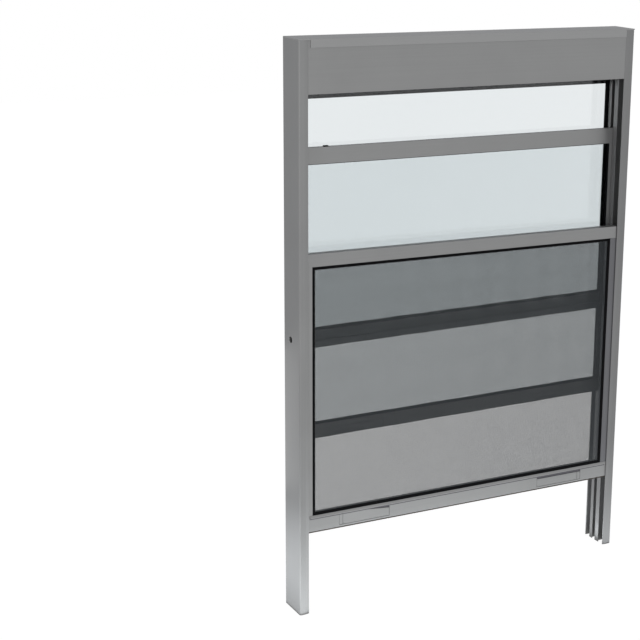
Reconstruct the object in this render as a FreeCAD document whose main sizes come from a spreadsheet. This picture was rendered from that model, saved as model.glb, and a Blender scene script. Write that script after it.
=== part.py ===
import FreeCAD, Part
import os
import Sketcher

# Vertical sliding concession window in a three lane aluminium frame.
# X runs across the width from the outer side of the left jamb.
# Y runs from the serving side at the front to the outside at the back.
# Z runs up. The origin is the middle of the outer side of the left jamb.

doc = FreeCAD.newDocument("concession_window")
sheet = doc.addObject("Spreadsheet::Sheet", "dims")

SIZES = [
    ("frame_width", 610.0, "overall width"),
    ("frame_height", 914.4, "overall height"),
    ("frame_depth", 54.0, "overall depth of the jambs"),
    ("frame_wall", 1.8, "wall of the frame extrusions"),
    ("jamb_face", 16.0, "width of the jamb seen from the front"),
    ("flange_flat", 10.0, "flat part of the front flange of a jamb"),
    ("flange_drop", 1.2, "set back of the rounded tip of the front flange"),
    ("flange_tip", 1.2, "thickness of the tip of the front flange"),
    ("flange_round", 12.0, "rounding where the front flange turns back"),
    ("outer_radius", 2.5, "rounding of the outer front edge of a jamb"),
    ("front_share", 0.2718, "mouth of the front lane as a share of the inner depth"),
    ("first_share", 0.1984, "head of the first divider as a share of the inner depth"),
    ("middle_share", 0.1687, "mouth of the middle lane as a share of the inner depth"),
    ("second_share", 0.1488, "head of the second divider as a share of the inner depth"),
    ("divider_lip", 1.5, "thickness of the head of a lane divider"),
    ("divider_stem", 1.6, "thickness of the stem of a lane divider"),
    ("head_drop", 22.0, "height of the head channel"),
    ("band_height", 13.1, "part of the head channel seen over the fascia"),
    ("band_gap", 3.9, "slot between the left jamb and the head channel"),
    ("fascia_drop", 81.9, "lower edge of the front fascia below the top"),
    ("apron_drop", 95.2, "lower edge of the back fascia below the top"),
    ("seam", 0.15, "gap at a butt seam of the frame"),
    ("side_gap", 1.5, "running gap at each side of a glass leaf"),
    ("screen_left", 1.2, "running gap at the left of the screen, which sits to that side"),
    ("screen_right", 5.8, "running gap at the right of the screen"),
    ("face_gap", 0.5, "running gap in front of and behind a leaf"),
    ("leaf_wall", 1.3, "wall of the leaf extrusions"),
    ("lite_lap", 6.6, "how far a glass leaf passes the middle height"),
    ("fixed_hang", 20.3, "top of the fixed lite below the top of the frame"),
    ("sash_share", 0.3107, "lower edge of the raised sash as a share of the height"),
    ("sash_tilt", 0.0039, "slope of the raised sash, down to the right"),
    ("screen_share", 0.1447, "lower edge of the raised screen as a share of the height"),
    ("screen_tilt", 0.0139, "slope of the racked screen, down to the right"),
    ("screen_less", 10.4, "screen height taken off the height of a glass leaf"),
    ("glass_thick", 3.2, "thickness of a pane"),
    ("pocket_deep", 7.0, "depth of a glazing pocket"),
    ("vinyl", 0.8, "thickness of the glazing vinyl beside the pane"),
    ("vinyl_base", 1.2, "thickness of the glazing vinyl behind the pane edge"),
    ("fixed_pocket", 4.6, "depth of the glazing pocket in a fixed lite stile"),
    ("fixed_stile", 8.9, "width of a fixed lite stile"),
    ("fixed_top", 20.0, "height of the fixed lite top rail"),
    ("fixed_rail", 26.4, "height of the fixed lite bottom rail"),
    ("fixed_bead", 7.8, "glazing seen beside the fixed pane"),
    ("fixed_strip", 4.5, "glazing seen over the fixed bottom rail"),
    ("sash_stile", 18.4, "width of a sash stile"),
    ("sash_top", 25.7, "height of the sash top rail"),
    ("sash_rail", 22.5, "height of the sash bottom rail"),
    ("sash_bead", 3.5, "glazing seen beside the sash pane"),
    ("sash_strip", 4.0, "glazing seen over the sash bottom rail"),
    ("sash_cover", 1.0, "glazing seen under the sash top rail"),
    ("bumper_start", 54.8, "outer end of the small bumper on the sash"),
    ("bumper_long", 7.4, "length of the bumper"),
    ("bumper_high", 1.6, "height of the bumper over the top rail"),
    ("screen_stile", 20.4, "width of a screen stile up to its groove"),
    ("screen_top", 20.0, "height of the screen top rail up to its groove"),
    ("screen_rail", 28.9, "height of the screen bottom rail up to its groove"),
    ("groove", 4.5, "width of the spline groove"),
    ("groove_deep", 5.2, "depth of the spline groove"),
    ("groove_lip", 1.3, "inner lip of the spline groove"),
    ("lip_back", 2.4, "set back of the inner lip of the groove"),
    ("spline_back", 0.6, "set back of the spline in its groove"),
    ("mesh_thick", 0.4, "thickness of the insect mesh"),
    ("mesh_strand", 4.0, "strand of the plain grid that stands for the cloth"),
    ("drip_high", 3.2, "height of the slanted lower edge of the bottom rail"),
    ("drip_deep", 1.2, "depth of the slanted lower edge of the bottom rail"),
    ("meet_high", 10.8, "height of the meeting strip on the fixed bottom rail"),
    ("meet_out", 3.0, "reach of the meeting strip in front of the fixed rail"),
    ("pull_height", 4.2, "height of the pull ledge on the screen"),
    ("pull_edge", 1.0, "height of the front edge of the pull ledge"),
    ("pull_out", 1.9, "reach of the pull ledge"),
    ("pull_inset", 2.6, "gap between a jamb and the end of the ledge"),
    ("latch_start", 70.3, "outer end of a finger latch from the side"),
    ("latch_run", 91.0, "length of a finger latch"),
    ("latch_low", 5.0, "lower edge of a finger latch above its rail edge"),
    ("latch_slot", 5.6, "finger slot over a screen latch"),
    ("latch_strip", 6.2, "end strip of a finger latch"),
    ("latch_line", 0.8, "width of the seam beside the end strip"),
    ("latch_seam", 0.5, "clearance round a finger latch"),
    ("hole_radius", 5.15, "radius of the side hole"),
    ("hole_depth", 31.4, "side hole behind the front of the frame"),
    ("hole_drop", 6.3, "side hole below the middle height"),
]
CELLS_ACROSS = 12
CELLS_HIGH = 9
for row, (alias, value, note) in enumerate(SIZES, start=1):
    sheet.set("A%d" % row, alias)
    sheet.set("B%d" % row, str(value))
    sheet.set("C%d" % row, note)
    sheet.setAlias("B%d" % row, alias)
doc.recompute()

# Shared distances, written once as expressions of the sheet.
HIGH = "dims.frame_height"
INNER = "(dims.frame_depth - 2 * dims.frame_wall)"
FIRST = "(" + INNER + " * dims.first_share)"
SECOND = "(" + INNER + " * dims.second_share)"
MIDDLE = "(" + INNER + " * dims.middle_share)"
LANE_1 = "(dims.flange_drop + dims.flange_tip)"
HEAD_1 = "(dims.frame_wall + " + INNER + " * dims.front_share)"
LANE_2 = "(" + HEAD_1 + " + " + FIRST + ")"
HEAD_2 = "(" + LANE_2 + " + " + MIDDLE + ")"
LANE_3 = "(" + HEAD_2 + " + " + SECOND + ")"
BACK = "(dims.frame_depth - dims.frame_wall)"
SIDE = "(dims.frame_wall + dims.side_gap)"
RIGHT = "dims.frame_width - "
LEAF_WIDE = "(dims.frame_width - 2 * " + SIDE + ")"
SCREEN_Y = "(" + LANE_1 + " + dims.face_gap)"
SASH_Y = "(" + LANE_2 + " + dims.face_gap)"
FIXED_Y = "(" + LANE_3 + " + dims.face_gap)"
SCREEN_THICK = "(" + HEAD_1 + " - dims.face_gap - " + SCREEN_Y + ")"
SASH_THICK = "(" + MIDDLE + " - 2 * dims.face_gap)"
FIXED_THICK = "(" + BACK + " - dims.face_gap - " + FIXED_Y + ")"
LITE = "(dims.frame_height / 2 + dims.lite_lap)"
nodes = []


def put(obj, x, y, z):
    """Bind the place of an object, given from the lower left front corner."""
    obj.setExpression("Placement.Base.x", x)
    obj.setExpression("Placement.Base.y", "(" + y + ") - dims.frame_depth / 2")
    obj.setExpression("Placement.Base.z", "(" + z + ") - dims.frame_height / 2")


def keep(obj, name):
    obj.Label = name
    nodes.append((obj, name))
    return obj


def new_body(name):
    body = doc.addObject("PartDesign::Body", name + "_body")
    doc.recompute()
    return body


def plane_of(body, role):
    for feature in body.Origin.OriginFeatures:
        if feature.Role == role:
            return feature
    raise ValueError(role)


def sketch_on(body, name, role, offset="0"):
    sketch = body.newObject("Sketcher::SketchObject", name)
    sketch.AttachmentSupport = [(plane_of(body, role), "")]
    sketch.MapMode = "FlatFace"
    if offset != "0":
        sketch.setExpression("AttachmentOffset.Base.z", offset)
    doc.recompute()
    return sketch


def value_of(text):
    probe = sheet.evalExpression(text)
    return float(getattr(probe, "Value", probe))


def bind(sketch, kind, geometry, value, text):
    index = sketch.addConstraint(Sketcher.Constraint(kind, -1, 1, geometry, 1, value))
    sketch.setExpression("Constraints[%d]" % index, text)


def add_loop(sketch, corners):
    """Add a closed outline with both coordinates of every corner bound."""
    points = [FreeCAD.Vector(value_of(a), value_of(b), 0) for a, b in corners]
    first = sketch.GeometryCount
    count = len(points)
    for i in range(count):
        line = Part.LineSegment(points[i], points[(i + 1) % count])
        sketch.addGeometry(line, False)
    for i in range(count):
        link = Sketcher.Constraint("Coincident", first + i, 2, first + (i + 1) % count, 1)
        sketch.addConstraint(link)
    for i, (a, b) in enumerate(corners):
        bind(sketch, "DistanceX", first + i, points[i].x, a)
        bind(sketch, "DistanceY", first + i, points[i].y, b)


def box_loop(sketch, x0, y0, x1, y1):
    add_loop(sketch, [(x0, y0), (x1, y0), (x1, y1), (x0, y1)])


def pad(body, sketch, length, name, tilt="0", away=False):
    """Extrude a sketch; a tilt lets a run along X go down to the right."""
    feature = body.newObject("PartDesign::Pad", name)
    feature.Profile = sketch
    feature.Reversed = away
    feature.setExpression("Length", length)
    if tilt != "0":
        slope(feature, tilt)
    doc.recompute()
    return feature


def slope(feature, tilt):
    """Let a run along X go down to the right by the tilt."""
    feature.UseCustomVector = True
    feature.Direction = FreeCAD.Vector(1, 0, -value_of(tilt))
    feature.AlongSketchNormal = True
    feature.setExpression("Direction.x", "1")
    feature.setExpression("Direction.y", "0")
    feature.setExpression("Direction.z", "-(" + tilt + ")")


def cut(body, sketch, depth, name, tilt="0"):
    """Cut a sketch into the body and make sure that material went."""
    before = body.Shape.Volume
    feature = body.newObject("PartDesign::Pocket", name)
    feature.Profile = sketch
    feature.setExpression("Length", depth)
    if tilt != "0":
        slope(feature, tilt)
    doc.recompute()
    if body.Shape.Volume > before - 0.01:
        feature.Reversed = True
        doc.recompute()
    if body.Shape.Volume > before - 0.01:
        raise RuntimeError("nothing cut by " + name)
    return feature


def round_edges(body, name, radius, wanted):
    """Round the upright edges of a body that stand at the wanted points."""
    names = []
    for i, edge in enumerate(body.Shape.Edges):
        ends = [v.Point for v in edge.Vertexes]
        if len(ends) != 2 or abs(ends[0].z - ends[1].z) < 50:
            continue
        for a, b in wanted:
            if abs(ends[0].x - value_of(a)) + abs(ends[0].y - value_of(b)) < 0.01:
                names.append("Edge%d" % (i + 1))
    base = body.Tip
    feature = body.newObject("PartDesign::Fillet", name)
    feature.Base = (base, names)
    feature.setExpression("Radius", radius)
    doc.recompute()
    return feature


def box(name, wide, deep, high, x, y, z):
    obj = doc.addObject("Part::Box", name + "_box")
    obj.setExpression("Length", wide)
    obj.setExpression("Width", deep)
    obj.setExpression("Height", high)
    put(obj, x, y, z)
    doc.recompute()
    return obj


# Jambs: a web, a front flange with a rounded tip, two headed dividers
# and a back flange, all one extrusion open towards the leaves.
def jamb_outline(flip):
    def u(text):
        return "dims.jamb_face - (" + text + ")" if flip else text
    w = "dims.frame_wall"
    r = "dims.jamb_face"
    neck = "dims.jamb_face - dims.divider_lip"
    loop = [(u("0"), "0"), (u("dims.flange_flat"), "0"), (u(r), "dims.flange_drop"), (u(r), LANE_1)]
    loop += [(u("dims.flange_flat - dims.flange_tip / 4"), w), (u(w), w)]
    for low, wide in ((HEAD_1, FIRST), (HEAD_2, SECOND)):
        mid = low + " + " + wide + " / 2"
        near = mid + " - dims.divider_stem / 2"
        far = mid + " + dims.divider_stem / 2"
        high = low + " + " + wide
        loop += [(u(w), near), (u(neck), near), (u(neck), low), (u(r), low)]
        loop += [(u(r), high), (u(neck), high), (u(neck), far), (u(w), far)]
    loop += [(u(w), BACK), (u(r), BACK)]
    loop += [(u(r), "dims.frame_depth"), (u("0"), "dims.frame_depth")]
    return loop


def side_hole(body, flip):
    offset = "dims.jamb_face" if flip else "0"
    sketch = sketch_on(body, body.Name + "_hole_sketch", "YZ_Plane", offset)
    high = HIGH + " / 2 - dims.hole_drop"
    start = FreeCAD.Vector(value_of("dims.hole_depth"), value_of(high), 0)
    size = value_of("dims.hole_radius")
    sketch.addGeometry(Part.Circle(start, FreeCAD.Vector(0, 0, 1), size), False)
    sketch.addConstraint(Sketcher.Constraint("Radius", 0, size))
    sketch.setExpression("Constraints[0]", "dims.hole_radius")
    sketch.addConstraint(Sketcher.Constraint("DistanceX", -1, 1, 0, 3, start.x))
    sketch.setExpression("Constraints[1]", "dims.hole_depth")
    sketch.addConstraint(Sketcher.Constraint("DistanceY", -1, 1, 0, 3, start.y))
    sketch.setExpression("Constraints[2]", high)
    cut(body, sketch, "dims.frame_wall * 1.5", body.Name + "_hole")


def make_jamb(name, flip):
    body = new_body(name)
    sketch = sketch_on(body, name + "_profile", "XY_Plane")
    add_loop(sketch, jamb_outline(flip))
    pad(body, sketch, HIGH + " - dims.frame_wall", name + "_pad")
    outer = "dims.jamb_face" if flip else "0"
    turn = "dims.jamb_face - dims.flange_flat" if flip else "dims.flange_flat"
    round_edges(body, name + "_corner", "dims.outer_radius", [(outer, "0")])
    round_edges(body, name + "_nose", "dims.flange_round", [(turn, "0")])
    side_hole(body, flip)
    x = RIGHT + "dims.jamb_face" if flip else "0"
    put(body, x, "0", "0")
    return keep(body, name)


make_jamb("left_jamb", False)
make_jamb("right_jamb", True)

# Head channel: a top plate over both jambs with fins hanging between them.
head = new_body("head_channel")
profile = sketch_on(head, "head_plate_profile", "YZ_Plane")
box_loop(profile, "0", "dims.head_drop - dims.frame_wall", "dims.frame_depth", "dims.head_drop")
pad(head, profile, "dims.frame_width", "head_plate")
ROOT = "dims.head_drop - dims.frame_wall / 2"
HALF = "dims.divider_stem / 2"
MID_1 = HEAD_1 + " + " + FIRST + " / 2"
MID_2 = HEAD_2 + " + " + SECOND + " / 2"
fins = [
    ("first", MID_1 + " - " + HALF, MID_1 + " + " + HALF, "dims.jamb_face + dims.seam"),
    ("second", MID_2 + " - " + HALF, MID_2 + " + " + HALF, "dims.jamb_face + dims.seam"),
    ("rear", BACK, "dims.frame_depth", "dims.jamb_face + dims.seam"),
]
band = ("band", "0", "dims.flange_drop", "dims.jamb_face + dims.band_gap")
for tag, near, far, start in [band] + fins:
    fin = sketch_on(head, "head_" + tag + "_profile", "YZ_Plane", start)
    foot = "dims.head_drop - dims.band_height" if tag == "band" else "0"
    box_loop(fin, near, foot, far, ROOT)
    span = RIGHT + "dims.jamb_face - dims.seam - (" + start + ")"
    pad(head, fin, span, "head_" + tag)
put(head, "0", "0", HIGH + " - dims.head_drop")
keep(head, "head_channel")

# Fascias between the jambs. The front one stands behind the band of the
# head channel and level with the tips of the jamb flanges.
SPAN = RIGHT + "2 * (dims.jamb_face + dims.seam)"
START = "dims.jamb_face + dims.seam"
fascia = box("header_fascia", SPAN, "dims.frame_wall", "dims.fascia_drop - dims.frame_wall",
             START, "dims.flange_drop", HIGH + " - dims.fascia_drop")
keep(fascia, "header_fascia")
apron = box("header_back_fascia", SPAN, "dims.frame_wall", "dims.apron_drop - dims.head_drop",
            START, BACK, HIGH + " - dims.apron_drop")
keep(apron, "header_back_fascia")


# Leaves. Every leaf is given by its values at the left outer side, and a
# tilt lets its rails go down to the right while its stiles stay upright.
def lean(z, tilt, x):
    return z if tilt == "0" else "(" + z + ") - " + tilt + " * (" + x + ")"


def slab(body, name, y, thick, tilt, loops):
    """Pad outlines of X and Z towards the back from the depth y."""
    sketch = sketch_on(body, name + "_profile", "XZ_Plane", "-(" + y + ")")
    for corners in loops:
        add_loop(sketch, [(x, lean(z, tilt, x)) for x, z in corners])
    return pad(body, sketch, thick, name + "_pad", away=True)


def ring(x0, z0, x1, z1):
    return [(x0, z0), (x1, z0), (x1, z1), (x0, z1)]


def rail(name, outline, start, span, tilt, body=None):
    """Run along X; outline gives Y and Z at the left outer side."""
    made = body or new_body(name)
    sketch = sketch_on(made, name + "_profile", "YZ_Plane", start)
    for corners in outline:
        add_loop(sketch, [(y, lean(z, tilt, start)) for y, z in corners])
    pad(made, sketch, span, name + "_pad", tilt)
    if body is None:
        put(made, "0", "0", "0")
        keep(made, name)
    return made


def stile(name, outline, low, high, body=None):
    """Run along Z between two heights; outline gives X and Y."""
    made = body or new_body(name)
    sketch = sketch_on(made, name + "_profile", "XY_Plane", low)
    for corners in outline:
        add_loop(sketch, corners)
    pad(made, sketch, "(" + high + ") - (" + low + ")", name + "_pad")
    if body is None:
        put(made, "0", "0", "0")
        keep(made, name)
    return made


def turned(loops, swap, base, sign):
    """Place outlines given as (across, depth) for a rail or a stile."""
    out = []
    for corners in loops:
        moved = []
        for a, b in corners:
            across = "(" + base + ") " + sign + " (" + a + ")"
            moved.append((b, across) if swap else (across, b))
        out.append(moved)
    return out


def glazed_bar(wide, y, thick, deep, hollow=True):
    """Bar with a glazing pocket in its inner side."""
    mouth = "(dims.glass_thick + 2 * dims.vinyl)"
    near = "(" + y + " + (" + thick + " - " + mouth + ") / 2)"
    far = "(" + near + " + " + mouth + ")"
    back = "(" + y + " + " + thick + ")"
    floor = wide + " - " + deep
    t = "dims.leaf_wall"
    outer = [("0", y), (wide, y), (wide, near), (floor, near), (floor, far), (wide, far), (wide, back), ("0", back)]
    inner = [(t, y + " + " + t), (floor + " - " + t, y + " + " + t),
             (floor + " - " + t, back + " - " + t), (t, back + " - " + t)]
    return [outer, inner] if hollow else [outer]


def glass_leaf(tag, low, tilt, y, thick, side, top, bottom, bead, strip, cover, deep, hollow):
    """Two rails, two stiles, a pane and the vinyl that wraps its edge."""
    inside = "(" + SIDE + " + " + side + ")"
    outside = RIGHT + inside
    sill = "(" + low + " + " + bottom + ")"
    crown = "(" + low + " + " + LITE + ")"
    head_low = "(" + crown + " - " + top + ")"
    rail(tag + "_bottom_rail", turned(glazed_bar(bottom, y, thick, deep), True, low, "+"), SIDE, LEAF_WIDE, tilt)
    rail(tag + "_top_rail", turned(glazed_bar(top, y, thick, deep), True, crown, "-"), SIDE, LEAF_WIDE, tilt)
    bar = glazed_bar(side, y, thick, deep, hollow)
    edges = [("left", SIDE, "+", SIDE, inside), ("right", RIGHT + SIDE, "-", outside, RIGHT + SIDE)]
    for hand, base, sign, near, far in edges:
        stile(tag + "_" + hand + "_stile", turned(bar, False, base, sign),
              lean(sill, tilt, near), lean(head_low, tilt, far))
    mid = "(" + y + " + (" + thick + " - dims.glass_thick) / 2)"
    bite = deep + " - dims.vinyl_base"
    pane = new_body(tag + "_glass")
    slab(pane, tag + "_glass", mid, "dims.glass_thick", tilt,
         [ring(inside + " - (" + bite + ")", sill + " - (" + bite + ")",
               outside + " + (" + bite + ")", head_low + " + (" + bite + ")")])
    put(pane, "0", "0", "0")
    keep(pane, tag + "_glass")
    wrap = new_body(tag + "_glazing")
    around = ring(inside + " - " + deep, sill + " - " + deep, outside + " + " + deep, head_low + " + " + deep)
    seen = ring(inside + " + " + bead, sill + " + " + strip, outside + " - " + bead, head_low + " - " + cover)
    held = ring(inside + " - (" + bite + ")", sill + " - (" + bite + ")",
                outside + " + (" + bite + ")", head_low + " + (" + bite + ")")
    slab(wrap, tag + "_front_lip", mid + " - dims.vinyl", "dims.vinyl", tilt, [around, seen])
    slab(wrap, tag + "_edge", mid, "dims.glass_thick", tilt, [around, held])
    slab(wrap, tag + "_back_lip", mid + " + dims.glass_thick", "dims.vinyl", tilt, [around, seen])
    put(wrap, "0", "0", "0")
    keep(wrap, tag + "_glazing")


def latch(tag, y, low, tilt, high, slot):
    """Openings and plates of the two finger latches in a bottom rail."""
    body = leaf_rails[tag]
    t = "dims.leaf_wall"
    s = "dims.latch_seam"
    for hand in ("left", "right"):
        a, b = "dims.latch_start", "dims.latch_start + dims.latch_run"
        if hand == "right":
            a, b = RIGHT + "(" + b + ")", RIGHT + a
        z0 = low + " + dims.latch_low"
        hole = sketch_on(body, tag + "_" + hand + "_opening", "XZ_Plane", "-(" + y + ")")
        add_loop(hole, [(x, lean(z, tilt, x)) for x, z in ring(a, z0, b, high)])
        cut(body, hole, t, tag + "_" + hand + "_opening_cut")
        name = tag + "_" + hand + "_latch"
        plate = new_body(name)
        top = high + " - " + slot
        raised = high + " - " + s
        crest = [(b + " - " + s, top), (a + " + dims.latch_run / 3", raised), (a + " + " + s, raised)]
        if hand == "right":
            crest = [(b + " - " + s, top), (a + " + " + s, top)]
        corners = [(a + " + " + s, z0 + " + " + s), (b + " - " + s, z0 + " + " + s)] + crest
        slab(plate, name + "_front", y + " + dims.latch_seam / 2", t + " - dims.latch_seam / 2", tilt, [corners])
        slab(plate, name + "_back", y + " + " + t, t, tilt,
             [ring(a + " - 1.2 * " + t, z0 + " - " + t, b + " + 1.2 * " + t, raised)])
        edge = a + " + dims.latch_strip" if hand == "left" else b + " - dims.latch_strip - dims.latch_line"
        groove = sketch_on(plate, name + "_line", "XZ_Plane", "-(" + y + ")")
        add_loop(groove, [(x, lean(z, tilt, x))
                          for x, z in ring(edge, z0, edge + " + dims.latch_line", high)])
        cut(plate, groove, "dims.latch_line + dims.latch_seam / 2", name + "_line_cut")
        put(plate, "0", "0", "0")
        keep(plate, name)


leaf_rails = {}

# Fixed lite in the back lane and glass sash in the middle lane.
FIXED_LOW = "(" + HIGH + " - dims.fixed_hang - " + LITE + ")"
glass_leaf("fixed", FIXED_LOW, "0", FIXED_Y, FIXED_THICK, "dims.fixed_stile", "dims.fixed_top", "dims.fixed_rail",
           "dims.fixed_bead", "dims.fixed_strip", "dims.fixed_strip", "dims.fixed_pocket", False)
fixed_low_rail = [obj for obj, name in nodes if name == "fixed_bottom_rail"][0]
meet_x = "dims.jamb_face + dims.pull_inset"
meet_y = FIXED_Y + " + dims.leaf_wall / 2"
meet_z = FIXED_LOW + " + dims.meet_high"
rail("fixed_meeting_strip", [[(meet_y, FIXED_LOW), (FIXED_Y + " - dims.meet_out", FIXED_LOW),
                              (FIXED_Y + " - dims.meet_out", meet_z), (meet_y, meet_z)]],
     meet_x, RIGHT + "2 * (" + meet_x + ")", "0", fixed_low_rail)
SASH_LOW = "(" + HIGH + " * dims.sash_share + dims.sash_tilt * dims.frame_width / 2)"
glass_leaf("sash", SASH_LOW, "dims.sash_tilt", SASH_Y, SASH_THICK, "dims.sash_stile", "dims.sash_top", "dims.sash_rail",
           "dims.sash_bead", "dims.sash_strip", "dims.sash_cover", "dims.pocket_deep", True)
for obj, name in nodes:
    if name == "sash_bottom_rail":
        leaf_rails["sash"] = obj
latch("sash", SASH_Y, SASH_LOW, "dims.sash_tilt",
      SASH_LOW + " + dims.sash_rail - dims.pocket_deep - dims.leaf_wall", "dims.leaf_wall")

# Small bumper on the top edge of the sash.
bumper = new_body("sash_bumper")
bump_z = SASH_LOW + " + " + LITE
bump_x = "(dims.bumper_start + dims.bumper_long)"
slab(bumper, "sash_bumper", SASH_Y + " + dims.leaf_wall", SASH_THICK + " - 2 * dims.leaf_wall", "dims.sash_tilt",
     [ring("dims.bumper_start", bump_z, bump_x, bump_z + " + dims.bumper_high")])
put(bumper, "0", "0", "0")
keep(bumper, "sash_bumper")

# Insect screen in the front lane: hollow bars with a spline groove whose
# corners are mitred, so that the groove runs round the cloth.
LEAN = "dims.screen_tilt"
SCREEN_LOW = "(" + HIGH + " * dims.screen_share + " + LEAN + " * dims.frame_width / 2)"
SCREEN_TOP = "(" + SCREEN_LOW + " + " + LITE + " - dims.screen_less)"
SCREEN_SILL = "(" + SCREEN_LOW + " + dims.screen_rail)"
SCREEN_HEAD = "(" + SCREEN_TOP + " - dims.screen_top)"
EDGE_L = "(dims.frame_wall + dims.screen_left)"
EDGE_R = "(dims.frame_width - dims.frame_wall - dims.screen_right)"
IN_L = "(" + EDGE_L + " + dims.screen_stile)"
IN_R = "(" + EDGE_R + " - dims.screen_stile)"
SCREEN_BACK = "(" + SCREEN_Y + " + " + SCREEN_THICK + ")"
CHANNEL = "(dims.groove + dims.groove_lip)"


def screen_bar(wide):
    t = "dims.leaf_wall"
    return [[("0", SCREEN_Y), (wide, SCREEN_Y), (wide, SCREEN_BACK), ("0", SCREEN_BACK)],
            [(t, SCREEN_Y + " + " + t), (wide + " - " + t, SCREEN_Y + " + " + t),
             (wide + " - " + t, SCREEN_BACK + " - " + t), (t, SCREEN_BACK + " - " + t)]]


def screen_channel(wide):
    root = wide + " - dims.leaf_wall"
    rim = wide + " + dims.groove"
    crest = wide + " + " + CHANNEL
    deep = SCREEN_Y + " + dims.groove_deep"
    lip = SCREEN_Y + " + dims.lip_back"
    base = deep + " + dims.leaf_wall"
    return [[(root, deep), (rim, deep), (rim, lip), (crest, lip), (crest, base), (root, base)]]


def mitre(body, name, triangles):
    """Cut triangles of X and Z right through the depth of the screen."""
    sketch = sketch_on(body, name, "XZ_Plane", "-(" + SCREEN_Y + " + dims.leaf_wall)")
    for corners in triangles:
        add_loop(sketch, [(x, lean(z, LEAN, x)) for x, z in corners])
    cut(body, sketch, SCREEN_THICK, name + "_cut")


def screen_rail(name, wide, base, sign, drip=False):
    """Hollow bar along X with the groove channel at its inner side."""
    inner = "(" + base + " " + sign + " " + wide + ")"
    crest = "(" + inner + " " + sign + " 1.01 * " + CHANNEL + ")"
    bar = screen_bar(wide)
    if drip:
        bar[0][0] = ("0", SCREEN_Y + " + dims.drip_deep")
        bar[0].insert(1, ("dims.drip_high", SCREEN_Y))
        bar[1] = [("dims.drip_high" if a == "dims.leaf_wall" else a, b) for a, b in bar[1]]
    body = rail(name, turned(bar, True, base, sign), EDGE_L, EDGE_R + " - " + EDGE_L, LEAN)
    rail(name + "_channel", turned(screen_channel(wide), True, base, sign), IN_L, IN_R + " - " + IN_L, LEAN, body)
    left = [(IN_L, inner), (IN_L + " + 1.01 * " + CHANNEL, crest), (IN_L, crest)]
    right = [(IN_R, inner), (IN_R, crest), (IN_R + " - 1.01 * " + CHANNEL, crest)]
    mitre(body, name + "_mitre", [left, right])
    return body


low_rail = screen_rail("screen_bottom_rail", "dims.screen_rail", SCREEN_LOW, "+", True)
leaf_rails["screen"] = low_rail
LEDGE = SCREEN_SILL + " - dims.pull_height"
inner_y = SCREEN_Y + " + dims.leaf_wall / 2"
ledge_y = SCREEN_Y + " - dims.pull_out"
ledge_x = "dims.jamb_face + dims.pull_inset"
rail("screen_pull", [[(inner_y, LEDGE), (ledge_y, LEDGE), (ledge_y, LEDGE + " + dims.pull_edge"),
                      (SCREEN_Y, SCREEN_SILL), (inner_y, SCREEN_SILL)]],
     ledge_x, RIGHT + "2 * (" + ledge_x + ")", LEAN, low_rail)
latch("screen", SCREEN_Y, SCREEN_LOW, LEAN, LEDGE, "dims.latch_slot")

screen_rail("screen_top_rail", "dims.screen_top", SCREEN_TOP, "-")
for hand, base, sign in (("left", EDGE_L, "+"), ("right", EDGE_R, "-")):
    name = "screen_" + hand + "_stile"
    near, far = (EDGE_L, IN_L) if hand == "left" else (IN_R, EDGE_R)
    low = lean(SCREEN_SILL, LEAN, near)
    high = lean(SCREEN_HEAD, LEAN, far)
    body = stile(name, turned(screen_bar("dims.screen_stile"), False, base, sign), low, high)
    edge = IN_L if hand == "left" else IN_R
    crest = "(" + edge + " " + sign + " 1.01 * " + CHANNEL + ")"
    stile(name + "_channel", turned(screen_channel("dims.screen_stile"), False, base, sign), low, high, body)
    bottom = [(edge, SCREEN_SILL), (crest, SCREEN_SILL + " + 1.01 * " + CHANNEL),
              (crest, SCREEN_SILL + " - " + CHANNEL), (edge, SCREEN_SILL + " - " + CHANNEL)]
    top = [(edge, SCREEN_HEAD), (edge, SCREEN_HEAD + " + " + CHANNEL),
           (crest, SCREEN_HEAD + " + " + CHANNEL), (crest, SCREEN_HEAD + " - 1.01 * " + CHANNEL)]
    mitre(body, name + "_mitre", [bottom, top])

# Spline pressed into the groove, and the cloth in front of the inner lip.
# The cloth is a plain grid of strands that stands for its fine weave.
far = "dims.groove"
spline = new_body("screen_spline")
slab(spline, "screen_spline", SCREEN_Y + " + dims.spline_back", "dims.groove_deep - dims.spline_back", LEAN,
     [ring(IN_L, SCREEN_SILL, IN_R, SCREEN_HEAD),
      ring(IN_L + " + " + far, SCREEN_SILL + " + " + far, IN_R + " - " + far, SCREEN_HEAD + " - " + far)])
put(spline, "0", "0", "0")
keep(spline, "screen_spline")
X0 = "(" + IN_L + " + " + far + ")"
X1 = "(" + IN_R + " - " + far + ")"
Z0 = "(" + SCREEN_SILL + " + " + far + ")"
Z1 = "(" + SCREEN_HEAD + " - " + far + ")"
cloth = new_body("screen_mesh")
cloth_y = SCREEN_Y + " + dims.lip_back - dims.mesh_thick"
upright = []
for i in range(CELLS_ACROSS + 1):
    at = X0 + " + (" + X1 + " - " + X0 + " - dims.mesh_strand) * " + str(i) + " / " + str(CELLS_ACROSS)
    upright.append(ring(at, Z0, at + " + dims.mesh_strand", Z1))
slab(cloth, "mesh_upright", cloth_y, "dims.mesh_thick", LEAN, upright)
across = []
for i in range(CELLS_HIGH + 1):
    at = Z0 + " + (" + Z1 + " - " + Z0 + " - dims.mesh_strand) * " + str(i) + " / " + str(CELLS_HIGH)
    across.append(ring(X0, at, X1, at + " + dims.mesh_strand"))
slab(cloth, "mesh_across", cloth_y, "dims.mesh_thick", LEAN, across)
put(cloth, "0", "0", "0")
keep(cloth, "screen_mesh")

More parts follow.
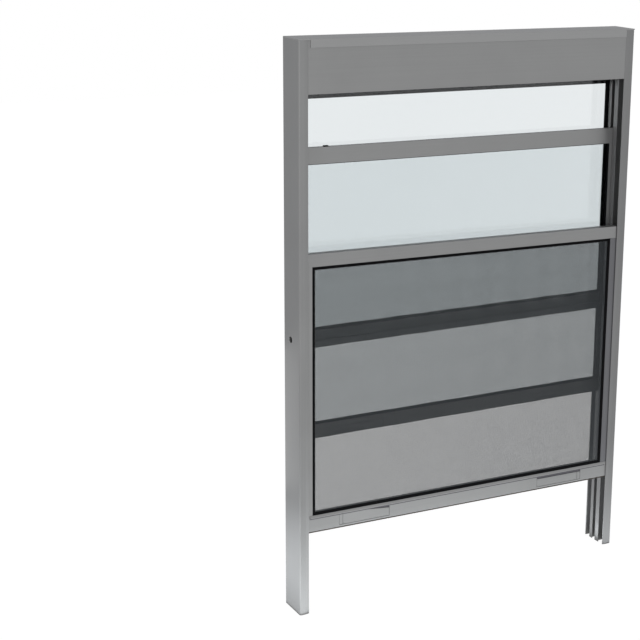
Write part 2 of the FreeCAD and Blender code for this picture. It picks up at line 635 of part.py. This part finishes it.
# Check every object, then write one file for each sub-part.
doc.recompute()
for obj in doc.Objects:
    bad = [word for word in obj.State if word in ("Invalid", "Error")]
    if bad:
        raise RuntimeError("%s is %s" % (obj.Name, bad))
os.makedirs("parts", exist_ok=True)
for obj, name in nodes:
    shape = obj.Shape
    if shape.isNull() or not shape.isValid() or len(shape.Solids) != 1:
        raise RuntimeError("bad shape " + name)
    shape.exportStep("parts/" + name + ".step")
    print(name, [round(v, 2) for v in (shape.BoundBox.XMin, shape.BoundBox.YMin, shape.BoundBox.ZMin,
                                       shape.BoundBox.XMax, shape.BoundBox.YMax, shape.BoundBox.ZMax)],
          round(shape.Volume))
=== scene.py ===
import math
import bpy
from mathutils import Matrix, Vector


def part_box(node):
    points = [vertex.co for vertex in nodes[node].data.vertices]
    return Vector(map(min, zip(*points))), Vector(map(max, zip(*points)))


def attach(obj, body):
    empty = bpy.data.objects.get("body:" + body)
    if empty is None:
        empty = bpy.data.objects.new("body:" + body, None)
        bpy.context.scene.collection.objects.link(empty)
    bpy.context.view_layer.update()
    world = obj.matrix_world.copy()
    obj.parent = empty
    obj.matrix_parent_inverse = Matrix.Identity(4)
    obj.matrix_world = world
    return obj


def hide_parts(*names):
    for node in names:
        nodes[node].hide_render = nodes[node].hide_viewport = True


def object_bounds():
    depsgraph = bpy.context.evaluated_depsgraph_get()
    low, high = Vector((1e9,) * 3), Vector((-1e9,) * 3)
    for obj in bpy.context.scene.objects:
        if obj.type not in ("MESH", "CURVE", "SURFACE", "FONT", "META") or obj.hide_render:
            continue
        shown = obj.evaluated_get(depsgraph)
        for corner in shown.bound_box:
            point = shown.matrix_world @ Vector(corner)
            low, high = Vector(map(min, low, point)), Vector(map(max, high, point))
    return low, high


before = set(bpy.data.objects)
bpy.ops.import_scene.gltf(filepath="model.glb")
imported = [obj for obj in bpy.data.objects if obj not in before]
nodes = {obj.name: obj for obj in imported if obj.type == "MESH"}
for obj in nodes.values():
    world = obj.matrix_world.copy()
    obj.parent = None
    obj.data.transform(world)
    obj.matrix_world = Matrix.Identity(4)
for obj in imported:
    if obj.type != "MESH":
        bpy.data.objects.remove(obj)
cad_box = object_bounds()
scene = bpy.context.scene
floor_z = cad_box[0][2]
right_side = cad_box[1][0]

# Sizes in metres. The screen falls by this much in a metre to the right.
TILT = 0.0139

# Insect cloth, spaced and thick so that its film looks as grey as in the photograph.
WIRE_PITCH = 0.00127
WIRE_THICK = 0.00054
WIRE_SIDES = 6
LAYER_SHIFT = 0.2 * WIRE_THICK

# Bottom rail of the screen, as in the part's source.
RAIL_HIGH = 0.0289
PULL_OUT = 0.0019
PULL_HIGH = 0.0042
PULL_INSET = 0.0026
SLANT_DEEP = 0.0012
SLANT_HIGH = 0.0032
LATCH_START = 0.0703
LATCH_RUN = 0.091
LATCH_SLOT = 0.0056
LATCH_SEAM = 0.0005

# Lip in the rail's slanted edge: height, set back and rise of its front corner.
LIP_HIGH = 0.0021
LIP_BACK = 0.0002
LIP_RISE = 0.0002

# Front and rear of the slot backs, dark with painted shade, and of the joint line, dark with painted
# shadow, from the rail's face.
SLOT_BACK_DEEP = (0.001, 0.0013)
JOINT_SHADOW_DEEP = (-0.0001, 0.0001)
JOINT_SHADOW_HIGH = 0.0022

# Dark strip of painted shadow on the back fascia.
SHADOW_STRIP_DEEP = 0.0016
SHADOW_STRIP_HIGH = 0.0085
SHADOW_STRIP_SLANT = 0.0006


# Materials
UPRIGHT = (0, 0, 1)
ACROSS = (1, 0, 0)
EVEN = (1, 1, 1)
NOISE_SPAN = (0.3, 0.7)
DIE_LINE_ALONG = 3.0
DIE_LINE_ACROSS = 900.0
DIE_LINE_SHARE = 0.55
EDGE_ROUND = 0.0004

# Sockets of a Mix node for colours.
MIX_FIRST, MIX_SECOND, MIX_RESULT = 6, 7, 2


def tree(name):
    """New material with its node tree emptied."""
    made = bpy.data.materials.new(name)
    made.use_nodes = True
    made.node_tree.nodes.clear()
    return made, made.node_tree.nodes, made.node_tree.links


def add(pool, kind, **values):
    node = pool.new(kind)
    for key, value in values.items():
        setattr(node, key, value)
    return node


def coated(name):
    """New material with one principled shader as its surface."""
    made, pool, links = tree(name)
    out = add(pool, "ShaderNodeOutputMaterial")
    skin = add(pool, "ShaderNodeBsdfPrincipled")
    links.new(skin.outputs["BSDF"], out.inputs["Surface"])
    return made, pool, links, skin


def mapped(pool, links, stretch):
    """Coordinates for noise in the object's own space, stretched along its axes."""
    place = add(pool, "ShaderNodeTexCoord")
    turn = add(pool, "ShaderNodeMapping")
    turn.inputs["Scale"].default_value = stretch
    links.new(place.outputs["Object"], turn.inputs["Vector"])
    return turn.outputs["Vector"]


def noise(pool, links, vector, scale, detail, rough):
    made = add(pool, "ShaderNodeTexNoise")
    made.inputs["Scale"].default_value = scale
    made.inputs["Detail"].default_value = detail
    made.inputs["Roughness"].default_value = rough
    links.new(vector, made.inputs["Vector"])
    return made.outputs["Fac"]


def spread(pool, links, value, low, high):
    """Noise, most of which lies in its span, brought between two numbers."""
    made = add(pool, "ShaderNodeMapRange")
    limits = {"From Min": NOISE_SPAN[0], "From Max": NOISE_SPAN[1], "To Min": low, "To Max": high}
    for name, number in limits.items():
        made.inputs[name].default_value = number
    links.new(value, made.inputs["Value"])
    return made.outputs["Result"]


def blend_colour(pool, links, fac, low, high):
    made = add(pool, "ShaderNodeMix", data_type="RGBA")
    made.inputs[MIX_FIRST].default_value = (*low, 1)
    made.inputs[MIX_SECOND].default_value = (*high, 1)
    links.new(fac, made.inputs[0])
    return made.outputs[MIX_RESULT]


def bump(pool, links, height, strength, distance, under=None):
    """Normal bent by a height, laid over another normal if there is one."""
    made = add(pool, "ShaderNodeBump")
    made.inputs["Strength"].default_value = strength
    made.inputs["Distance"].default_value = distance
    links.new(height, made.inputs["Height"])
    if under is not None:
        links.new(under, made.inputs["Normal"])
    return made.outputs["Normal"]


def part_of(pool, links, value, share):
    """A share of a value."""
    made = add(pool, "ShaderNodeMath", operation="MULTIPLY")
    links.new(value, made.inputs[0])
    made.inputs[1].default_value = share
    return made.outputs[0]


def larger(pool, links, first, second):
    made = add(pool, "ShaderNodeMath", operation="MAXIMUM")
    links.new(first, made.inputs[0])
    links.new(second, made.inputs[1])
    return made.outputs[0]


def aluminium(name, grain, low, high):
    """Satin clear anodized aluminium with fine die lines along its run."""
    made, pool, links, skin = coated(name)
    skin.inputs["Metallic"].default_value = 0.8
    skin.inputs["Specular Tint"].default_value = (0.55, 0.55, 0.57, 1)
    stretch = tuple(DIE_LINE_ALONG if run else DIE_LINE_ACROSS for run in grain)
    lines = noise(pool, links, mapped(pool, links, stretch), scale=1.0, detail=4.0, rough=0.6)
    cloud = noise(pool, links, mapped(pool, links, EVEN), scale=9.0, detail=3.0, rough=0.5)
    grit = noise(pool, links, mapped(pool, links, EVEN), scale=1400.0, detail=2.0, rough=0.5)
    tone = add(pool, "ShaderNodeMath", operation="MULTIPLY_ADD")
    links.new(lines, tone.inputs[0])
    tone.inputs[1].default_value = DIE_LINE_SHARE
    links.new(spread(pool, links, cloud, low=0.0, high=1 - DIE_LINE_SHARE), tone.inputs[2])
    links.new(blend_colour(pool, links, tone.outputs[0], low, high), skin.inputs["Base Color"])
    links.new(spread(pool, links, cloud, low=0.42, high=0.54), skin.inputs["Roughness"])
    soft = add(pool, "ShaderNodeBevel", samples=4)
    soft.inputs["Radius"].default_value = EDGE_ROUND
    drawn = bump(pool, links, lines, strength=0.06, distance=0.0001, under=soft.outputs["Normal"])
    fine = bump(pool, links, grit, strength=0.08, distance=0.00005, under=drawn)
    links.new(fine, skin.inputs["Normal"])
    return made


def vinyl(name, low, high, rough=(0.47, 0.65)):
    """Matt vinyl, rubber or coated wire with a faint drawn grain."""
    made, pool, links, skin = coated(name)
    skin.inputs["Specular IOR Level"].default_value = 0.06
    spots = noise(pool, links, mapped(pool, links, EVEN), scale=700.0, detail=3.0, rough=0.6)
    links.new(blend_colour(pool, links, spots, low, high), skin.inputs["Base Color"])
    links.new(spread(pool, links, spots, *rough), skin.inputs["Roughness"])
    links.new(bump(pool, links, spots, strength=0.2, distance=0.0001), skin.inputs["Normal"])
    return made


def glass(name, tint_low, tint_high):
    """Clear float glass with a faint draw wave and a slight tint."""
    made, pool, links, skin = coated(name)
    skin.inputs["Transmission Weight"].default_value = 1.0
    skin.inputs["IOR"].default_value = 1.5
    skin.inputs["Roughness"].default_value = 0.0
    wave = noise(pool, links, mapped(pool, links, (1, 1, 0.4)), scale=3.0, detail=2.0, rough=0.4)
    links.new(blend_colour(pool, links, wave, tint_low, tint_high), skin.inputs["Base Color"])
    links.new(bump(pool, links, wave, strength=0.05, distance=0.0002), skin.inputs["Normal"])
    return made


# One satin finish, in a few tones that follow the light in the photograph.
FINISH = ((0.335, 0.335, 0.331), (0.415, 0.415, 0.41))
metal_up = aluminium("satin_aluminium_upright", UPRIGHT, *FINISH)
metal_across = aluminium("satin_aluminium_across", ACROSS, *FINISH)
black = vinyl("black_vinyl", (0.003, 0.003, 0.0033), (0.007, 0.007, 0.008))
pane = glass("clear_glass", (0.772, 0.81, 0.82), (0.81, 0.84, 0.85))
# Lighter copy of the satin finish: painted light on the head channel.
metal_head_painted_light = aluminium("satin_aluminium_head_painted_light", ACROSS, (0.385, 0.385, 0.38), (0.465, 0.465, 0.46))
# Slightly darker copy of the finish: painted shade on the left jamb.
metal_left_painted_shade = aluminium("satin_aluminium_left_painted_shade", UPRIGHT, (0.322, 0.322, 0.319), (0.4, 0.4, 0.395))
# Darker copy of the finish: painted shade on the right jamb.
metal_right_painted_shade = aluminium("satin_aluminium_right_painted_shade", UPRIGHT, (0.268, 0.268, 0.267), (0.331, 0.331, 0.329))
# Darker, bluish copy of the finish: painted shadow of the right jamb's flange on the screen's right
# stile.
metal_stile_painted_shadow = aluminium("satin_aluminium_painted_shadow", UPRIGHT, (0.19, 0.19, 0.198), (0.24, 0.24, 0.25))
# Darkest copy of the finish: painted shade in the finger slots and painted shadow under the pull ledge.
metal_slot_painted_shade = aluminium("satin_aluminium_slot_painted_shade", ACROSS, (0.12, 0.117, 0.128), (0.165, 0.16, 0.173))
mesh_wire = vinyl("grey_mesh_wire", (0.085, 0.092, 0.095), (0.118, 0.127, 0.131), rough=(0.52, 0.7))
# Near-black strip colour: painted shadow of the front fascia on the back fascia.
shadow_vinyl = vinyl("header_painted_shadow_vinyl", (0.01, 0.01, 0.011), (0.018, 0.018, 0.02))
lip_dark_brown = vinyl("screen_lip_dark_brown", (0.09, 0.078, 0.066), (0.115, 0.1, 0.085))

# Nodes in lighter and darker copies of the one finish: painted light and shade.
PAINTED_LIGHT_AND_SHADE = {
    "head_channel": metal_head_painted_light,
    "left_jamb": metal_left_painted_shade,
    "right_jamb": metal_right_painted_shade,
    "screen_right_stile": metal_stile_painted_shadow,
}


def finish_of(name):
    """Material of a CAD node."""
    if name in PAINTED_LIGHT_AND_SHADE:
        return PAINTED_LIGHT_AND_SHADE[name]
    if name.endswith("_glass"):
        return pane
    if name.endswith("_glazing") or name in ("screen_spline", "sash_bumper"):
        return black
    return metal_up if "stile" in name else metal_across


def paint(piece, made):
    piece.data.materials.clear()
    piece.data.materials.append(made)


for name, piece in nodes.items():
    paint(piece, finish_of(name))


# New pieces
def corners(name):
    """Low and high corner of a CAD node's box."""
    low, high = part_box(name)
    return Vector(low), Vector(high)


def mesh_piece(name, points, faces, made):
    """New piece that rides with the window."""
    data = bpy.data.meshes.new(name)
    data.from_pydata(points, [], faces)
    data.update()
    piece = bpy.data.objects.new(name, data)
    scene.collection.objects.link(piece)
    paint(piece, made)
    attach(piece, "root")
    return piece


def bar(name, first, last, made, slot):
    """New piece between two outlines with the same number of points."""
    count = len(first)
    faces = [tuple(range(count)), tuple(range(2 * count - 1, count - 1, -1))]
    for i in range(count):
        j = (i + 1) % count
        faces.append((i, count + i, count + j, j))
    return mesh_piece(name, first + last, faces, made)


def wire_end(middle, run):
    """Corners of a wire's end, square to its run along x or z."""
    ring = []
    for i in range(WIRE_SIDES):
        turn = 2 * math.pi * (i + 0.5) / WIRE_SIDES
        a = WIRE_THICK / 2 * math.cos(turn)
        b = WIRE_THICK / 2 * math.sin(turn)
        ring.append(middle + (Vector((a, b, 0)) if run == "z" else Vector((0, b, a))))
    return ring


def add_wire(points, faces, start, end, run):
    """Straight wire between two places, in a mesh that is being made."""
    first = len(points)
    second = first + WIRE_SIDES
    points += wire_end(start, run) + wire_end(end, run)
    for i in range(WIRE_SIDES):
        j = (i + 1) % WIRE_SIDES
        faces.append((first + i, first + j, second + j, second + i))
    faces.append(tuple(reversed(range(first, second))))
    faces.append(tuple(range(second, second + WIRE_SIDES)))


def make_cloth():
    """Insect cloth: upright wires behind, wires across in front, all straight."""
    low, high = corners("screen_mesh")
    wide = high.x - low.x
    drop = TILT * wide
    foot, top = low.z + drop, high.z
    middle = (low.y + high.y) / 2
    points, faces = [], []
    count = int(wide / WIRE_PITCH)
    for i in range(count):
        x = low.x + (i + 0.5) * wide / count
        y = middle + LAYER_SHIFT
        fall = TILT * (x - low.x)
        add_wire(points, faces, Vector((x, y, foot - fall)), Vector((x, y, top - fall)), "z")
    count = int((top - foot) / WIRE_PITCH)
    for i in range(count):
        y = middle - LAYER_SHIFT
        z = foot + (i + 0.5) * (top - foot) / count
        add_wire(points, faces, Vector((low.x, y, z)), Vector((high.x, y, z - drop)), "x")
    cloth = mesh_piece("insect_cloth", points, faces, mesh_wire)
    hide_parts("screen_mesh")


# The bottom rail of the screen: its face, and its upper edge carried on to x = 0.
rail_low, rail_high = corners("screen_bottom_rail")
face_y = rail_low.y + PULL_OUT
rail_edge = rail_low.z + TILT * rail_high.x + RAIL_HIGH
under_pull = rail_edge - PULL_HIGH


def on_rail(outline, deep):
    """Front and rear outline of a flat piece that leans with the rail."""
    return [[(x, face_y + y, z - TILT * x) for x, z in outline] for y in deep]


def make_lip():
    """Dark brownish strip seated in the slanted front edge under the screen."""
    foot = rail_low.z + TILT * (rail_high.x - rail_low.x)
    front = face_y + LIP_BACK
    on_slant = face_y + SLANT_DEEP * (1 - LIP_HIGH / SLANT_HIGH)
    section = [(front, LIP_RISE), (face_y + SLANT_DEEP, 0), (on_slant, LIP_HIGH), (front, LIP_HIGH)]
    first, last = [[(x, y, foot - TILT * (x - rail_low.x) + z) for y, z in section]
                   for x in (rail_low.x, rail_high.x)]
    bar("screen_lip", first, last, lip_dark_brown, "black_vinyl")


def make_slot_painted_shade():
    """Backs of the finger slots over the two screen latches, dark with painted shade."""
    slot_foot = under_pull - LATCH_SLOT
    seam_foot = under_pull - LATCH_SEAM
    a = LATCH_START
    b = a + LATCH_RUN
    slant = a + LATCH_RUN / 3
    outline = [(slant, seam_foot), (b, slot_foot), (b, under_pull), (a, under_pull), (a, seam_foot)]
    bar("screen_left_slot_painted_shade", *on_rail(outline, SLOT_BACK_DEEP), metal_slot_painted_shade, "satin_aluminium")
    b = right_side - LATCH_START
    a = b - LATCH_RUN
    outline = [(a, slot_foot), (b, slot_foot), (b, under_pull), (a, under_pull)]
    bar("screen_right_slot_painted_shade", *on_rail(outline, SLOT_BACK_DEEP), metal_slot_painted_shade, "satin_aluminium")


def make_pull_joint_and_shadow():
    """Fine joint line under the pull ledge of the screen, darkened as the ledge's painted shadow."""
    a = corners("left_jamb")[1].x + PULL_INSET
    b = corners("right_jamb")[0].x - PULL_INSET
    foot = under_pull - JOINT_SHADOW_HIGH
    outline = [(a, foot), (b, foot), (b, under_pull), (a, under_pull)]
    bar("screen_pull_joint_and_shadow", *on_rail(outline, JOINT_SHADOW_DEEP), metal_slot_painted_shade, "satin_aluminium")


def make_header_painted_shadow():
    """Dark strip along the lower edge of the back fascia, on its inner side: painted shadow of the
    front fascia.
    """
    low, high = corners("header_back_fascia")
    front, top = low.y - SHADOW_STRIP_DEEP, low.z + SHADOW_STRIP_HIGH
    section = [(low.y, low.z), (front, low.z + SHADOW_STRIP_SLANT), (front, top - SHADOW_STRIP_SLANT), (low.y, top)]
    first, last = [[(x, y, z) for y, z in section] for x in (low.x, high.x)]
    bar("header_painted_shadow", first, last, shadow_vinyl, "black_vinyl")


make_cloth()
make_lip()
make_slot_painted_shade()
make_pull_joint_and_shadow()
make_header_painted_shadow()


# Floor and world
FLOOR_HALF = 6.0
FLOOR_GREYS = ((0.78, 0.78, 0.78), (0.82, 0.82, 0.82))
FLOOR_GLOW = 1.12
FLOOR_GLOW_SHARE = 0.86
GLOSS_SHARE = 0.5
ROOM_COLOUR = (0.42, 0.43, 0.45, 1)
WHITE = (1, 1, 1, 1)


def seen_white(pool, links):
    """One for rays from the camera or through glass, less off a gloss, or else nought."""
    path = add(pool, "ShaderNodeLightPath")
    seen = larger(pool, links, path.outputs["Is Camera Ray"], path.outputs["Is Transmission Ray"])
    gloss = part_of(pool, links, path.outputs["Is Glossy Ray"], GLOSS_SHARE)
    return larger(pool, links, seen, gloss)


def mix_by(pool, links, fac, first, second, out):
    """Blend of two shaders, as the surface of a material or world."""
    mix = add(pool, "ShaderNodeMixShader")
    links.new(fac, mix.inputs[0])
    links.new(first.outputs[0], mix.inputs[1])
    links.new(second.outputs[0], mix.inputs[2])
    links.new(mix.outputs["Shader"], out.inputs["Surface"])


def pale_floor():
    """Plain pale matt floor that glows white where it is seen."""
    made, pool, links = tree("pale_floor")
    out = add(pool, "ShaderNodeOutputMaterial")
    matt = add(pool, "ShaderNodeBsdfPrincipled")
    matt.inputs["Roughness"].default_value = 0.8
    matt.inputs["Specular IOR Level"].default_value = 0.1
    speck = noise(pool, links, mapped(pool, links, EVEN), scale=60.0, detail=3.0, rough=0.55)
    links.new(blend_colour(pool, links, speck, *FLOOR_GREYS), matt.inputs["Base Color"])
    glow = add(pool, "ShaderNodeEmission")
    glow.inputs["Strength"].default_value = FLOOR_GLOW
    share = part_of(pool, links, seen_white(pool, links), FLOOR_GLOW_SHARE)
    mix_by(pool, links, share, matt, glow, out)
    return made


def make_floor():
    data = bpy.data.meshes.new("floor")
    around = ((-1, -1), (1, -1), (1, 1), (-1, 1))
    data.from_pydata([(x * FLOOR_HALF, y * FLOOR_HALF, floor_z) for x, y in around], [], [(0, 1, 2, 3)])
    floor = bpy.data.objects.new("floor", data)
    scene.collection.objects.link(floor)
    paint(floor, pale_floor())


def make_world():
    """Even grey room light, white where it is seen."""
    world = bpy.data.worlds.new("studio")
    scene.world = world
    world.use_nodes = True
    pool, links = world.node_tree.nodes, world.node_tree.links
    pool.clear()
    out = add(pool, "ShaderNodeOutputWorld")
    room = add(pool, "ShaderNodeBackground")
    room.inputs["Color"].default_value = ROOM_COLOUR
    white = add(pool, "ShaderNodeBackground")
    white.inputs["Color"].default_value = WHITE
    mix_by(pool, links, seen_white(pool, links), room, white, out)


make_floor()
make_world()


# Lamps: two soft boxes, and small ones at the floor and the left jamb for the legs.
WINDOW_MIDDLE = (0.3, 0, -0.2)
LAMP_LIFT = 0.001
BOUNCE_COLOUR = (0.93, 0.97, 1.0)


def lamp(name, place, aim, size, power, colour=(1, 1, 1)):
    """Soft rectangular lamp that neither the camera nor a pane shows."""
    light = bpy.data.lights.new(name, "AREA")
    light.shape = "RECTANGLE"
    light.size, light.size_y = size
    light.energy = power
    light.color = colour
    piece = bpy.data.objects.new(name, light)
    piece.location = place
    piece.rotation_euler = (Vector(aim) - Vector(place)).to_track_quat("-Z", "Y").to_euler()
    piece.visible_camera = False
    piece.visible_transmission = False
    scene.collection.objects.link(piece)


def bounce(name, x, y, size, power):
    """Light thrown straight up by a patch of the floor."""
    lamp(name, (x, y, floor_z + LAMP_LIFT), (x, y, 1), size, power, BOUNCE_COLOUR)


lamp("key_softbox", (-0.9, -2.9, 0.9), WINDOW_MIDDLE, size=(1.8, 1.8), power=9)
lamp("fill_softbox", (2.6, 0.6, 1.2), WINDOW_MIDDLE, size=(1.6, 1.6), power=2)
bounce("front_bounce", 0.1, -0.13, size=(0.7, 0.2), power=0.6)
bounce("right_bounce", 0.62, -0.13, size=(0.32, 0.2), power=0.17)
bounce("left_bounce", -0.225, 0.05, size=(0.35, 0.5), power=0.45)
bounce("foot_bounce", -0.102, 0.16, size=(0.2, 0.4), power=0.2)
bounce("inner_bounce", 0.47, 0.0, size=(0.2, 0.06), power=0.24)
lamp("left_strip", (-0.05, 0.11, -0.17), (0.0, 0.03, -0.17), size=(0.03, 0.24), power=0.024)


# Camera, as fitted to the photograph. Angles in radians.
PICTURE_PX = 640
FOCAL_PX = 1561.08
CENTRE_X_PX = 466.73
CENTRE_Y_PX = 279.67
SENSOR_MM = 36.0
CAMERA_PLACE = (-0.9719, -2.1134, 0.6750)
YAW = 0.5462
DIP = 0.2452
ROLL = 0.0236


def camera_turn():
    """Rotation of the camera: yaw to the right, dip below level, then roll."""
    ahead = Vector((math.sin(YAW) * math.cos(DIP), math.cos(YAW) * math.cos(DIP), -math.sin(DIP)))
    right = Vector((math.cos(YAW), -math.sin(YAW), 0))
    down = ahead.cross(right)
    side = right * math.cos(ROLL) - down * math.sin(ROLL)
    lower = right * math.sin(ROLL) + down * math.cos(ROLL)
    return Matrix((side, -lower, -ahead)).transposed().to_4x4()


def make_camera():
    lens = bpy.data.cameras.new("photo_camera")
    lens.sensor_width = SENSOR_MM
    lens.lens = SENSOR_MM * FOCAL_PX / PICTURE_PX
    lens.shift_x = (PICTURE_PX / 2 - CENTRE_X_PX) / PICTURE_PX
    lens.shift_y = (CENTRE_Y_PX - PICTURE_PX / 2) / PICTURE_PX
    camera = bpy.data.objects.new("photo_camera", lens)
    camera.matrix_world = Matrix.Translation(CAMERA_PLACE) @ camera_turn()
    scene.collection.objects.link(camera)
    scene.camera = camera


make_camera()
scene.view_settings.view_transform = "Standard"
